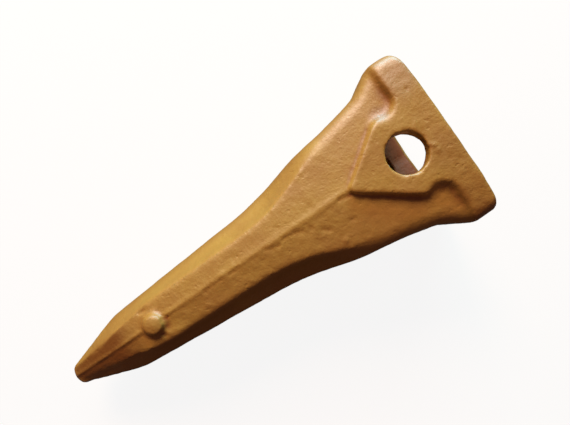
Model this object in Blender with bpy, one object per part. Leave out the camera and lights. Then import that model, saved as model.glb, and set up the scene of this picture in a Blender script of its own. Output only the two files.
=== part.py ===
"""Rock bucket tooth: one steel casting with a wedge point, a flared socket and a cross hole for its pin.

The tooth is drawn along X in its own frame, with its mouth at x = 0 and its point towards -X. Y is its height
and Z its width, the direction of the pin. It is then laid on one side, on its flat pad and its round boss.
"""

import math

import bmesh
import bpy
import numpy as np
from mathutils import Matrix, Vector

# Lengths of the runs along the tooth, from the mouth to the point
LIP_LENGTH = 0.0178
RAMP_LENGTH = 0.0153
NECK_LENGTH = 0.0249
SHOULDER_LENGTH = 0.0267
FLARE_LENGTH = 0.0361
BLADE_LENGTH = 0.1106
WEDGE_LENGTH = 0.0431

# Full heights at the ends of those runs
LIP_HEIGHT = 0.1120
RAMP_FOOT_HEIGHT = 0.0922
NECK_HEIGHT = 0.0808
SHOULDER_HEIGHT = 0.0747
BLADE_BACK_HEIGHT = 0.0566
WEDGE_BACK_HEIGHT = 0.0382
POINT_HEIGHT = 0.0108

# Full widths across the side ridges, and how steeply the side faces fall away from them
RIDGE_WIDTH_AT_MOUTH = 0.0880
RIDGE_WIDTH_AT_WEDGE = 0.0521
POINT_WIDTH = 0.0170
SIDE_FALL_AT_MOUTH = math.radians(4.0)
SIDE_FALL_AT_WEDGE = math.radians(9.0)
SIDE_FALL_AT_POINT = math.radians(17.0)
RIDGE_FLAT = 0.0016
NOSE_RADIUS = 0.0040

# Full heights of the thin side wing, and full widths of the crest between the scoops
WING_AT_POINT = 0.0092
WING_AT_WEDGE = 0.0162
WING_AT_BOSS = 0.0258
WING_AT_BLADE = 0.0285
WING_AT_FLARE = 0.0350
CREST_AT_POINT = 0.0130
CREST_AT_WEDGE = 0.0220
CREST_AT_FLARE = 0.0250

# Where along the flare and the blade the wing has those heights
FLARE_WAIST_SHARE = 0.7
BLADE_WAIST_SHARE = 0.1

# The scoops that hollow out the blade between wing and crest, and the rounded edges along the socket
SCOOP_DEPTH = 0.0024
SCOOP_LEFT_AT_WEDGE = 0.5
SCOOP_RIM_REACH = 0.0026
SOCKET_EDGE_RADIUS = 0.0095

# The rim band and the pad, which share one slightly crowned outer surface on each side
RIM_WIDTH = 0.0930
PAD_FLAT = 0.0360
CROWN_DROP_AT_LIP = 0.0046
BAND_LENGTH = 0.0176
PAD_LENGTH = 0.0692
PAD_CORNER_FROM_MOUTH = 0.0325
PAD_HEIGHT = 0.0540
NOTCH_FROM_MOUTH = 0.0256
NOTCH_BASE_HEIGHT = 0.0460
BAND_FOOT_HEIGHT = 0.0570
LOWER_EDGE_SHIFT = 0.0014
PAD_EDGE_ROUNDING = 0.0016
WALL_SKIRT = 0.0040
NOTCH_FLARE = 0.0028
WALL_SINK = 0.0006
LEAST_WALL_HEIGHT = 0.0030
PAD_WALL_SHARE = 0.5
LIP_EDGE_MARGIN = 0.0008
UPPER_LIP_REAR_RADIUS = 0.0066
LOWER_LIP_REAR_RADIUS = 0.0040
LIP_CORNER_RADIUS = 0.0095
RIM_REAR_RADIUS = 0.0014

# The socket for the adapter nose
SOCKET_DEPTH = 0.1120
SOCKET_MOUTH_HEIGHT = 0.0830
SOCKET_END_HEIGHT = 0.0290
SOCKET_MOUTH_WIDTH = 0.0768
SOCKET_END_WIDTH = 0.0496
SOCKET_CORNER_RADIUS = 0.0060
SOCKET_SIDE_FALL = math.radians(6.0)
SOCKET_MOUTH_CHAMFER = 0.0036
SOCKET_END_RADIUS = 0.0048

# The cross hole for the pin
PIN_HOLE_DIAMETER = 0.0248
PIN_HOLE_FROM_MOUTH = 0.0285
PIN_HOLE_SIDES = 48

# The round boss on each side ridge
BOSS_FROM_MOUTH = 0.2065
BOSS_DIAMETER = 0.0122
BOSS_DRAFT = 0.0009
BOSS_RISE = 0.0044
BOSS_DOME = 0.0009
BOSS_EDGE_RADIUS = 0.0014
BOSS_SIDES = 32

# Over how much length a bend in an outline is eased, on each side of it
SHORT_EASE = 0.0050
MIDDLE_EASE = 0.0100
LONG_EASE = 0.0180

# How finely the casting is faceted, and how far a cutter stands past what it cuts
LONGEST_RUN = 0.0110
SHORTEST_RUN = 0.0012
CURVE_STEPS = 8
CORNER_STEPS = 4
CROWN_STEPS = 4
WALL_STEPS = 3
NOSE_STEPS = (1.0, 0.45, 0.15)
REAR_STEPS = (0.0, 0.04, 0.15, 0.35, 0.65, 1.0)
OVERSHOOT = 0.0040
BOSS_TRIM = 0.0002
WELD_DISTANCE = 0.00002
SHARP_ANGLE = math.radians(30.0)

# The most of a straight run that the rounding of one corner may take
CORNER_SHARE = 0.45

# Reach of a cubic's handles: of the radius of a quarter circle, and at most of the span between its ends
QUARTER_CIRCLE_HANDLE = 0.55
LONGEST_HANDLE = 0.39

# Paint of the casting
OCHRE = (0.42, 0.22, 0.045, 1.0)
PAINT_ROUGHNESS = 0.45

LIP_FRONT = LIP_LENGTH
RAMP_FOOT = LIP_FRONT + RAMP_LENGTH
NECK_FRONT = RAMP_FOOT + NECK_LENGTH
SHOULDER_FRONT = NECK_FRONT + SHOULDER_LENGTH
BLADE_BACK = SHOULDER_FRONT + FLARE_LENGTH
WEDGE_BACK = BLADE_BACK + BLADE_LENGTH
TOOTH_LENGTH = WEDGE_BACK + WEDGE_LENGTH
SCOOP_END = (NECK_FRONT + SHOULDER_FRONT) / 2
FLARE_WAIST = SHOULDER_FRONT + FLARE_LENGTH * FLARE_WAIST_SHARE
BLADE_WAIST = BLADE_BACK + BLADE_LENGTH * BLADE_WAIST_SHARE


def rounded_line(corners, place):
    """Value at a place on a line through (place, value, reach) corners, each of them eased over its reach."""
    value = float(np.interp(place, [corner[0] for corner in corners], [corner[1] for corner in corners]))
    for before, corner, after in zip(corners, corners[1:], corners[2:]):
        run_before = corner[0] - before[0]
        run_after = after[0] - corner[0]
        reach = min(corner[2], run_before / 2, run_after / 2)
        distance = abs(place - corner[0])
        if distance < reach:
            bend = (after[1] - corner[1]) / run_after - (corner[1] - before[1]) / run_before
            value += bend * (reach - distance) ** 2 / (4 * reach)
    return value


def arc_inset(radius, distance):
    """How far a rounded edge of this radius has fallen back at a distance from the end face it runs into."""
    if distance >= radius:
        return 0.0
    return radius - math.sqrt(radius**2 - (radius - max(distance, 0.0)) ** 2)


def height_corners(ramp_shift=0.0):
    """Outline of the casting above its axis, with its ramp moved this far towards the mouth."""
    ramp_slope = (LIP_HEIGHT - RAMP_FOOT_HEIGHT) / 2 / RAMP_LENGTH
    # The lip is drawn a little too high and is trimmed with the rim
    excess = OVERSHOOT / 2
    return [
        (-OVERSHOOT, LIP_HEIGHT / 2 + excess, 0.0),
        (LIP_FRONT - excess / ramp_slope - ramp_shift, LIP_HEIGHT / 2 + excess, 0.0),
        (RAMP_FOOT - ramp_shift, RAMP_FOOT_HEIGHT / 2, SHORT_EASE),
        (NECK_FRONT, NECK_HEIGHT / 2, MIDDLE_EASE),
        (SHOULDER_FRONT, SHOULDER_HEIGHT / 2, SHORT_EASE),
        (BLADE_BACK, BLADE_BACK_HEIGHT / 2, LONG_EASE),
        (WEDGE_BACK, WEDGE_BACK_HEIGHT / 2, SHORT_EASE),
        (TOOTH_LENGTH, POINT_HEIGHT / 2, 0.0),
    ]


def ridge_corners():
    """Side ridge of the casting, as half widths."""
    slope = (RIDGE_WIDTH_AT_MOUTH - RIDGE_WIDTH_AT_WEDGE) / 2 / WEDGE_BACK
    return [
        (-OVERSHOOT, RIDGE_WIDTH_AT_MOUTH / 2 + slope * OVERSHOOT, 0.0),
        (WEDGE_BACK, RIDGE_WIDTH_AT_WEDGE / 2, MIDDLE_EASE),
        (TOOTH_LENGTH, POINT_WIDTH / 2, 0.0),
    ]


def half_height(along, ramp_shift=0.0):
    return rounded_line(height_corners(ramp_shift), along)


def ridge(along):
    return rounded_line(ridge_corners(), along)


def side_fall(along):
    """Angle at which the side face falls away from its ridge."""
    corners = [
        (-OVERSHOOT, SIDE_FALL_AT_MOUTH, 0.0),
        (WEDGE_BACK, SIDE_FALL_AT_WEDGE, MIDDLE_EASE),
        (TOOTH_LENGTH, SIDE_FALL_AT_POINT, 0.0),
    ]
    return rounded_line(corners, along)


def side_at(along, height):
    """Half width of the side face at a height."""
    return ridge(along) - (height - RIDGE_FLAT / 2) * math.tan(side_fall(along))


def wing_corners():
    """How far the side face's upper edge lies below the top outline, from the mouth to the point."""
    corners = [(-OVERSHOOT, SOCKET_EDGE_RADIUS, 0.0), (SCOOP_END, SOCKET_EDGE_RADIUS, MIDDLE_EASE)]
    stations = [
        (FLARE_WAIST, WING_AT_FLARE, MIDDLE_EASE),
        (BLADE_WAIST, WING_AT_BLADE, LONG_EASE),
        (BOSS_FROM_MOUTH, WING_AT_BOSS, MIDDLE_EASE),
        (WEDGE_BACK, WING_AT_WEDGE, SHORT_EASE),
        (TOOTH_LENGTH, WING_AT_POINT, 0.0),
    ]
    return corners + [(along, half_height(along) - full / 2, ease) for along, full, ease in stations]


def wing(along, ramp_shift=0.0):
    """Height of the side face's upper edge."""
    return half_height(along, ramp_shift) - rounded_line(wing_corners(), along)


def crest_corners():
    """How far the crest's edge lies inside the side face's upper edge."""
    corners = [(-OVERSHOOT, SOCKET_EDGE_RADIUS, 0.0), (SCOOP_END, SOCKET_EDGE_RADIUS, MIDDLE_EASE)]
    stations = [
        (FLARE_WAIST, CREST_AT_FLARE, MIDDLE_EASE),
        (WEDGE_BACK, CREST_AT_WEDGE, SHORT_EASE),
        (TOOTH_LENGTH, CREST_AT_POINT, 0.0),
    ]
    return corners + [(along, side_at(along, wing(along)) - full / 2, ease) for along, full, ease in stations]


def scoop_corners():
    """How much of its full depth the scoop has, from where it runs out on the socket to the point."""
    return [
        (-OVERSHOOT, 0.0, 0.0),
        (SCOOP_END, 0.0, MIDDLE_EASE),
        (FLARE_WAIST, 1.0, SHORT_EASE),
        (WEDGE_BACK, SCOOP_LEFT_AT_WEDGE, SHORT_EASE),
        (TOOTH_LENGTH, 0.0, 0.0),
    ]


def edge_curve(low, high, fall, scooped):
    """Points from the side face to the top face: a rounded edge, or as much of a scoop as asked."""
    span = math.dist(low, high)
    round_reach = min(QUARTER_CIRCLE_HANDLE * SOCKET_EDGE_RADIUS, LONGEST_HANDLE * span)
    rim_reach = min(SCOOP_RIM_REACH, LONGEST_HANDLE * span)
    reach = round_reach + (rim_reach - round_reach) * min(scooped * 2, 1.0)
    run = Vector((high[0] - low[0], high[1] - low[1])).normalized()
    outward = Vector((-run.y, run.x))
    leaving = Vector((math.cos(fall), -math.sin(fall))) * reach
    arriving = Vector((0.0, 1.0)) * reach
    ends = [Vector(low), Vector(low) + leaving, Vector(high) + arriving, Vector(high)]
    points = []
    for step in range(CURVE_STEPS + 1):
        t = step / CURVE_STEPS
        weights = [(1 - t) ** 3, 3 * t * (1 - t) ** 2, 3 * t**2 * (1 - t), t**3]
        point = sum((end * weight for end, weight in zip(ends, weights)), Vector((0.0, 0.0)))
        points.append(point - outward * SCOOP_DEPTH * scooped * math.sin(math.pi * t) ** 2)
    return points


def half_ring(quarter):
    """One quarter, given as (height, half width) points, and its mirror image across the width."""
    return [*quarter, *[(height, -width) for height, width in reversed(quarter[:-1])]]


def ring(along, quarter, lower_quarter=None):
    """A closed ring of points across the tooth, the same below as above unless given a lower quarter."""
    upper = half_ring(quarter)
    below = half_ring(lower_quarter or quarter)
    lower = [(-height, width) for height, width in reversed(below[1:-1])]
    return [Vector((-along, height, width)) for height, width in upper + lower]


def casting_quarter(along, ramp_shift=0.0):
    """One quarter of the casting's cross section, from the side ridge to the middle of the top."""
    inset = arc_inset(NOSE_RADIUS, TOOTH_LENGTH - along)
    top = half_height(along, ramp_shift) - inset
    edge = wing(along, ramp_shift)
    side = side_at(along, edge)
    crest = side - rounded_line(crest_corners(), along)
    middle = ridge(along) - inset
    scooped = rounded_line(scoop_corners(), along)
    curve = edge_curve((edge - inset, side - inset), (top, crest - inset), side_fall(along), scooped)
    return [(0.0, middle), (RIDGE_FLAT / 2, middle), *[tuple(point) for point in curve], (top, 0.0)]


def places_along(first, last, corners):
    """Where the rings of a loft lie: at each corner and its easing's ends, and not too far apart between."""
    wanted = {first, last}
    for place, _, reach in corners:
        wanted |= {place + share * reach for share in (-1, -0.5, 0, 0.5, 1)}
    places = [first]
    for place in sorted(wanted):
        if place - places[-1] < SHORTEST_RUN or place > last - SHORTEST_RUN:
            continue
        parts = math.ceil((place - places[-1]) / LONGEST_RUN)
        start = places[-1]
        places += [start + (place - start) * part / parts for part in range(1, parts + 1)]
    return [*places, last]


def mesh_object(name, bm, material=None):
    """Links a finished mesh to the scene, shaded smooth except over its sharp edges."""
    bmesh.ops.recalc_face_normals(bm, faces=bm.faces)
    mesh = bpy.data.meshes.new(name)
    bm.to_mesh(mesh)
    bm.free()
    mesh.shade_smooth()
    mesh.set_sharp_from_angle(angle=SHARP_ANGLE)
    made = bpy.data.objects.new(name, mesh)
    bpy.context.scene.collection.objects.link(made)
    if material:
        mesh.materials.append(material)
    return made


def loft(name, rings, material=None):
    """A closed body through rings of equally many points, bridged one to the next and capped at both ends."""
    bm = bmesh.new()
    loops = []
    for points in rings:
        vertices = [bm.verts.new(point) for point in points]
        loops.append([bm.edges.new(pair) for pair in zip(vertices, vertices[1:] + vertices[:1])])
    for near, far in zip(loops, loops[1:]):
        bmesh.ops.bridge_loops(bm, edges=near + far)
    for loop in (loops[0], loops[-1]):
        bmesh.ops.contextual_create(bm, geom=loop)
    return mesh_object(name, bm, material)


def cast_body(material):
    """The casting without its socket: lips, ramp, neck, flare, blade and wedge point in one loft."""
    corners = height_corners() + height_corners(LOWER_EDGE_SHIFT) + wing_corners() + ridge_corners()
    nose = [TOOTH_LENGTH - NOSE_RADIUS * share for share in NOSE_STEPS]
    places = places_along(-OVERSHOOT, nose[0], corners) + nose[1:] + [TOOTH_LENGTH]
    shift = LOWER_EDGE_SHIFT
    rings = [ring(along, casting_quarter(along), casting_quarter(along, shift)) for along in places]
    return loft("rock_tooth", rings, material)


def rest_slope():
    """Slope of the pad's plane against the tooth's axis, which brings the plane down onto the boss."""
    boss_crest = ridge(BOSS_FROM_MOUTH) + BOSS_RISE
    return (RIM_WIDTH / 2 - boss_crest) / BOSS_FROM_MOUTH


def crown_drop(height):
    """How far the rim band and pad have curved down from their flat middle at a height."""
    beyond = max(abs(height) - PAD_FLAT / 2, 0.0)
    return CROWN_DROP_AT_LIP * (beyond / (LIP_HEIGHT / 2 - PAD_FLAT / 2)) ** 2


def rim_surface(along, height):
    """Half width of the outer surface that the rim band and the pad share."""
    return RIM_WIDTH / 2 - along * rest_slope() - crown_drop(height)


def envelope_quarter(along, lip_rear_radius):
    """One quarter of the rim's outer surface, with a lip whose rear edge has this radius."""
    lip_inset = arc_inset(lip_rear_radius, along)
    side_inset = arc_inset(RIM_REAR_RADIUS, along)
    corner_height = LIP_HEIGHT / 2 - LIP_CORNER_RADIUS - lip_inset
    quarter = [(0.0, rim_surface(along, 0.0) - side_inset)]
    for step in range(CROWN_STEPS):
        height = PAD_FLAT / 2 + (corner_height - PAD_FLAT / 2) * step / CROWN_STEPS
        quarter.append((height, rim_surface(along, height) - side_inset))
    corner_width = rim_surface(along, corner_height) - side_inset - LIP_CORNER_RADIUS
    for step in range(CURVE_STEPS + 1):
        turn = math.pi / 2 * step / CURVE_STEPS
        height = corner_height + LIP_CORNER_RADIUS * math.sin(turn)
        quarter.append((height, corner_width + LIP_CORNER_RADIUS * math.cos(turn)))
    quarter.append((LIP_HEIGHT / 2 - lip_inset, 0.0))
    return quarter


def rim_envelope():
    """Trims the raised panels and the lips to their outer surface, with the rim's rounded rear edges."""
    places = [UPPER_LIP_REAR_RADIUS * share for share in REAR_STEPS]
    places += [TOOTH_LENGTH + OVERSHOOT]
    rings = []
    for along in places:
        upper = envelope_quarter(along, UPPER_LIP_REAR_RADIUS)
        lower = envelope_quarter(along, LOWER_LIP_REAR_RADIUS)
        rings.append(ring(along, upper, lower))
    return loft("rim_envelope", rings)


def eased_outline(corners):
    """Points of an outline through (along, height, radius) corners, each of them rounded."""
    points = []
    for before, corner, after in zip(corners, corners[1:], corners[2:]):
        here = Vector(corner[:2])
        back = Vector(before[:2]) - here
        on = Vector(after[:2]) - here
        reach = min(corner[2], back.length * CORNER_SHARE, on.length * CORNER_SHARE)
        start = here + back.normalized() * reach
        end = here + on.normalized() * reach
        for step in range(CORNER_STEPS + 1):
            t = step / CORNER_STEPS
            points.append(start * (1 - t) ** 2 + here * 2 * t * (1 - t) + end * t**2)
    return [Vector(corners[0][:2]), *points, Vector(corners[-1][:2])]


def panel_front():
    """Front edge of band, notches and pad at their top, from one lip past the pad's point to the other."""
    lip_edge = LIP_FRONT - LIP_EDGE_MARGIN
    upper = [
        (BAND_LENGTH, LIP_HEIGHT / 2 - MIDDLE_EASE, SHORT_EASE),
        (BAND_LENGTH, BAND_FOOT_HEIGHT / 2, SHORT_EASE),
        (NOTCH_FROM_MOUTH, NOTCH_BASE_HEIGHT / 2, SHORT_EASE),
        (PAD_CORNER_FROM_MOUTH, PAD_HEIGHT / 2, SHORT_EASE),
    ]
    lower = [(along - LOWER_EDGE_SHIFT, -height, ease) for along, height, ease in reversed(upper)]
    lip = [(lip_edge, LIP_HEIGHT / 2 + 2 * OVERSHOOT, 0.0), (lip_edge, LIP_HEIGHT / 2, SHORT_EASE)]
    far_lip = [(along, -height, ease) for along, height, ease in reversed(lip)]
    return eased_outline([*lip, *upper, (PAD_LENGTH, 0.0, SHORT_EASE), *lower, *far_lip])


def wall_share(along, height):
    """How wide the front wall's foot flares: fully at the notches, less around the pad, none on the lips."""
    ramp_top = LIP_HEIGHT / 2 - LIP_EDGE_MARGIN * 2
    up_the_ramp = (abs(height) - RAMP_FOOT_HEIGHT / 2) / (ramp_top - RAMP_FOOT_HEIGHT / 2)
    onto_the_pad = (along - NOTCH_FROM_MOUTH) / (PAD_CORNER_FROM_MOUTH - NOTCH_FROM_MOUTH)
    around_pad = 1.0 - (1.0 - PAD_WALL_SHARE) * min(max(onto_the_pad, 0.0), 1.0)
    return around_pad * (1.0 - min(max(up_the_ramp, 0.0), 1.0))


def notch_share(along):
    """1 in the middle of a notch and 0 at the band and the pad's corner, with an even curve between."""
    aside = abs(along - NOTCH_FROM_MOUTH) / (PAD_CORNER_FROM_MOUTH - NOTCH_FROM_MOUTH)
    return (1.0 - min(aside, 1.0) ** 2) ** 2


def spread_outline(points, spread):
    """The front edge moved away from the panel, by less around the pad and by more in the notches."""
    moved = []
    for index, point in enumerate(points):
        before = points[max(index - 1, 0)]
        after = points[min(index + 1, len(points) - 1)]
        run = (after - before).normalized()
        place = point + Vector((-run.y, run.x)) * spread * wall_share(point.x, point.y)
        place.y += math.copysign(NOTCH_FLARE, point.y) * notch_share(point.x) * max(spread, 0.0) / WALL_SKIRT
        moved.append(place)
    return moved


def panel_ring(spread, width_at):
    """One level of a raised panel: its spread front edge, closed behind the mouth."""
    front = spread_outline(panel_front(), spread)
    behind = -2 * OVERSHOOT
    outline = [*front, Vector((behind, front[-1].y)), Vector((behind, front[0].y))]
    return [Vector((-point.x, point.y, width_at(point.x, point.y))) for point in outline]


def wall_height(along, height):
    """Height of a panel's front wall from below its rounded upper edge to a little under the side face."""
    below_edge = rim_surface(along, height) - PAD_EDGE_ROUNDING - side_at(along, abs(height))
    return max(below_edge + WALL_SINK, LEAST_WALL_HEIGHT)


def wall_levels():
    """Levels down a panel's front wall: drop of the rounded edge, share of the wall, spread past the edge."""
    rounding = PAD_EDGE_ROUNDING
    levels = [(-rounding / 2, 0.0, -rounding * 1.3)]
    for step in range(WALL_STEPS + 1):
        turn = math.pi / 2 * step / WALL_STEPS
        levels.append((rounding * (1 - math.cos(turn)), 0.0, -rounding * (1 - math.sin(turn))))
    for step in range(1, WALL_STEPS + 1):
        turn = math.pi / 2 * step / WALL_STEPS
        levels.append((rounding, math.sin(turn), WALL_SKIRT * (1 - math.cos(turn))))
    return levels


def wall_width(along, height, edge_drop, wall_part):
    """Half width of a panel's front wall at one of its levels."""
    return rim_surface(along, height) - edge_drop - wall_part * wall_height(along, height)


def raised_panel(name, side):
    """Rim band and pad of one side, with sloping walls and rounded upper edges. side is 1 or -1."""
    above = RIM_WIDTH / 2 + OVERSHOOT
    below = RIM_WIDTH / 4
    levels = wall_levels()
    rings = [panel_ring(levels[0][2], lambda along, height: side * above)]
    for level in levels:
        rings.append(panel_ring(level[2], lambda *place, level=level: side * wall_width(*place, *level[:2])))
    rings.append(panel_ring(WALL_SKIRT, lambda along, height: side * below))
    return loft(name, rings)


def boss(name, side):
    """A short round boss with an eased edge and a slightly domed crest, standing on one side ridge."""
    radius = BOSS_DIAMETER / 2
    crest = ridge(BOSS_FROM_MOUTH) + BOSS_RISE + BOSS_TRIM
    rim = crest - BOSS_DOME
    profile = [(0.0, crest), (radius - BOSS_EDGE_RADIUS, rim)]
    for step in range(1, CORNER_STEPS + 1):
        turn = math.pi / 2 * step / CORNER_STEPS
        across = radius - BOSS_EDGE_RADIUS * (1 - math.sin(turn))
        profile.append((across, rim - BOSS_EDGE_RADIUS * (1 - math.cos(turn))))
    profile += [(radius + BOSS_DRAFT, rim - BOSS_RISE), (radius + BOSS_DRAFT, crest / 2), (0.0, crest / 2)]
    bm = bmesh.new()
    points = [bm.verts.new((-BOSS_FROM_MOUTH + across, 0.0, side * width)) for across, width in profile]
    edges = [bm.edges.new(pair) for pair in zip(points, points[1:])]
    centre = Vector((-BOSS_FROM_MOUTH, 0.0, 0.0))
    bmesh.ops.spin(
        bm,
        geom=points + edges,
        cent=centre,
        axis=(0.0, 0.0, 1.0),
        angle=2 * math.pi,
        steps=BOSS_SIDES,
        use_merge=True,
    )
    bmesh.ops.remove_doubles(bm, verts=bm.verts, dist=0.00001)
    return mesh_object(name, bm)


def socket_ring(along, inset):
    """One ring of the hollow, with sides that fall away from a faint middle ridge like the outside."""
    share = along / SOCKET_DEPTH
    top = (SOCKET_MOUTH_HEIGHT + (SOCKET_END_HEIGHT - SOCKET_MOUTH_HEIGHT) * share) / 2 - inset
    middle = (SOCKET_MOUTH_WIDTH + (SOCKET_END_WIDTH - SOCKET_MOUTH_WIDTH) * share) / 2 - inset
    radius = SOCKET_CORNER_RADIUS
    corner_height = top - radius
    corner_width = middle - corner_height * math.tan(SOCKET_SIDE_FALL) - radius
    quarter = [(0.0, middle)]
    for step in range(CORNER_STEPS + 1):
        turn = math.pi / 2 * step / CORNER_STEPS
        quarter.append((corner_height + radius * math.sin(turn), corner_width + radius * math.cos(turn)))
    quarter.append((top, 0.0))
    return ring(along, quarter)


def socket_cutter():
    """The hollow: a chamfered mouth, tapering walls and a rounded end."""
    rings = [
        socket_ring(-OVERSHOOT, -SOCKET_MOUTH_CHAMFER - OVERSHOOT),
        socket_ring(SOCKET_MOUTH_CHAMFER, 0.0),
    ]
    for step in range(CORNER_STEPS + 1):
        turn = math.pi / 2 * step / CORNER_STEPS
        along = SOCKET_DEPTH - SOCKET_END_RADIUS * (1 - math.sin(turn))
        rings.append(socket_ring(along, SOCKET_END_RADIUS * (1 - math.cos(turn))))
    return loft("socket_cutter", rings)


def pin_hole_cutter():
    """The straight cross hole, square to the tooth's axis and through both side walls."""
    bm = bmesh.new()
    bmesh.ops.create_cone(
        bm,
        cap_ends=True,
        segments=PIN_HOLE_SIDES,
        radius1=PIN_HOLE_DIAMETER / 2,
        radius2=PIN_HOLE_DIAMETER / 2,
        depth=RIM_WIDTH + 2 * OVERSHOOT,
        matrix=Matrix.Translation((-PIN_HOLE_FROM_MOUTH, 0.0, 0.0)),
    )
    return mesh_object("pin_hole_cutter", bm)


def combine(tooth, helper, operation):
    """Joins a helper to the casting, trims the casting to it or cuts it away."""
    modifier = tooth.modifiers.new(helper.name, "BOOLEAN")
    modifier.operation = operation
    modifier.object = helper
    modifier.solver = "EXACT"
    helper.parent = tooth
    helper.hide_render = True
    helper.display_type = "WIRE"


def weld_slivers(tooth):
    """Merges points that the joins leave almost on top of each other."""
    modifier = tooth.modifiers.new("weld_slivers", "WELD")
    modifier.merge_threshold = WELD_DISTANCE


def lay_on_its_side(tooth):
    """Turns the lower pad level and sets the tooth down with the middle of its box over the origin."""
    turn = Matrix.Rotation(-math.atan(rest_slope()), 4, "Y")
    evaluated = tooth.evaluated_get(bpy.context.evaluated_depsgraph_get())
    points = [turn @ vertex.co for vertex in evaluated.data.vertices]
    low = [min(point[axis] for point in points) for axis in range(3)]
    high = [max(point[axis] for point in points) for axis in range(3)]
    middle = [(low[axis] + high[axis]) / 2 for axis in range(2)]
    tooth.matrix_world = Matrix.Translation((-middle[0], -middle[1], -low[2])) @ turn


def ochre_paint():
    paint = bpy.data.materials.new("ochre_paint")
    paint.use_nodes = True
    shader = paint.node_tree.nodes["Principled BSDF"]
    shader.inputs["Base Color"].default_value = OCHRE
    shader.inputs["Roughness"].default_value = PAINT_ROUGHNESS
    shader.inputs["Metallic"].default_value = 0.0
    return paint


def build():
    for old in list(bpy.data.objects):
        bpy.data.objects.remove(old, do_unlink=True)
    tooth = cast_body(ochre_paint())
    for side, name in ((1, "upper"), (-1, "lower")):
        combine(tooth, raised_panel(f"{name}_panel", side), "UNION")
        combine(tooth, boss(f"{name}_boss", side), "UNION")
    combine(tooth, rim_envelope(), "INTERSECT")
    combine(tooth, socket_cutter(), "DIFFERENCE")
    combine(tooth, pin_hole_cutter(), "DIFFERENCE")
    weld_slivers(tooth)
    lay_on_its_side(tooth)


build()
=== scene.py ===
import math

import bmesh
import bpy
import numpy as np
from mathutils import Euler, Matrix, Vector, noise


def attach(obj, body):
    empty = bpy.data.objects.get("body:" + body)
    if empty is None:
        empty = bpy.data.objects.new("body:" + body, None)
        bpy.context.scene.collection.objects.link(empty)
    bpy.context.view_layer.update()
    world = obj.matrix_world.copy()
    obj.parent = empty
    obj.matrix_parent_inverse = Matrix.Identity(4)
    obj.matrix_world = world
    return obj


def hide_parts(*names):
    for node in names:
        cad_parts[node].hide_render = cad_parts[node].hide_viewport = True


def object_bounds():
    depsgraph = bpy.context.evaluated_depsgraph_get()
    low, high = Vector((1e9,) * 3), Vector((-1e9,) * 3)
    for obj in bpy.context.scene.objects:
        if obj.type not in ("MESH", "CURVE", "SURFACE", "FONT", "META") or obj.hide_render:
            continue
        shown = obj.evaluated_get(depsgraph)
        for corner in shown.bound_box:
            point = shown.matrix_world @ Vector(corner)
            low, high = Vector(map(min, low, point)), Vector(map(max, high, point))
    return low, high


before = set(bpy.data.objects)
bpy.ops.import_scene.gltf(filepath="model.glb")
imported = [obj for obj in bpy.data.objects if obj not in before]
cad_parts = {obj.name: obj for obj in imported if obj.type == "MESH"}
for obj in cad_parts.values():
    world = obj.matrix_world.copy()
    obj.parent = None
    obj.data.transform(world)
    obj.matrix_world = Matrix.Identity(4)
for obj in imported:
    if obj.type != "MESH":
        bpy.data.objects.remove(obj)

CAD_BOX = [list(corner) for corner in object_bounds()]

bl_info = {
    "name": "Rock bucket tooth",
    "version": (1, 0, 0),
    "blender": (4, 5, 0),
    "location": "3D View > Sidebar > Tooth",
    "description": "Dresses a rock bucket tooth in its sand-cast skin and ochre paint, and sets its stage",
    "category": "Object",
}

# The tooth's own frame in the row frame: the middle of its mouth, and the lean of its axis from level
MOUTH = Vector((0.1355, 0.0, 0.0464))
LEAN = math.radians(3.91)

# The solid's loose triangles are joined where their points lie this close
JOIN_DISTANCE = 0.00001

# Rounds of smoothing: of the whole skin, of its outer edges, and for finding its hollows
SKIN_ROUNDS = 2
EDGE_ROUNDS = 10
HOLLOW_ROUNDS = 14

# The rounder zones: a band along the outline, and the blade beside its seam, by distance from the mouth
EDGE_BAND = 0.009
ROUNDED_EDGES = (0.004, 0.255)
ROUNDED_BLADE = (0.085, 0.215)
SEAM_MARGIN = 0.006

# Length and number of the stretches that the casting's outline is measured in
OUTLINE_STRETCH = 0.002
OUTLINE_STRETCHES = 151

# The hollow socket: half width and half height at its mouth, how fast they shrink, its depth, and the
# thickness over which the skin passes from outside to inside, at its walls and at its mouth
SOCKET_HALF_WIDTH = 0.0402
SOCKET_HALF_HEIGHT = 0.0434
SOCKET_WIDTH_LOSS = 0.122
SOCKET_HEIGHT_LOSS = 0.24
SOCKET_DEPTH = 0.1150
SOCKET_SKIN = 0.0010
MOUTH_SKIN = 0.0030

# Points whose share of the inside is less than this count as lying outside
OUTSIDE_BELOW = 0.1

# The boss on each side ridge, from the mouth, and how far from its middle the seam fades out
BOSS_FROM_MOUTH = 0.2065
BOSS_REACH = 0.0080
BOSS_FADE = 0.0008

# The parting seam, by distance from the mouth: where it leaves the pad, and where it sharpens to the point
SEAM_START = (0.064, 0.074)
SEAM_SHARPENS = (0.165, 0.225)

# How far the skin has to face sideways for the seam to show: where that begins and is full
SEAM_SLOPE = (0.55, 0.80)

# The seam's crest: height above the ridge's middle and how much of that is lost at the point, width and
# how much of that is lost, share of the seam's height on the blade and how much that gains at the point,
# and how far the whole line wanders
CREST_HEIGHT = 0.0013
CREST_SINKS = 0.0010
CREST_WIDTH = 0.0020
CREST_NARROWS = 0.0011
CREST_SHARE = 0.8
CREST_GROWS = 0.4
SEAM_WANDER = 0.00030

# The step below the crest: where it begins and ends, where and how much the skin comes back below it,
# share of the mould shift on the blade and how much that gains at the point, and how ragged the step is:
# its mean and the swing about it
STEP_EDGE = (0.0004, -0.0013)
STEP_RETURN = (-0.0030, -0.0130)
STEP_RETURNED = 0.85
STEP_SHARE = 0.30
STEP_GROWS = 0.70
RAGGED_MEAN = 0.80
RAGGED_SWING = 0.50

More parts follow.
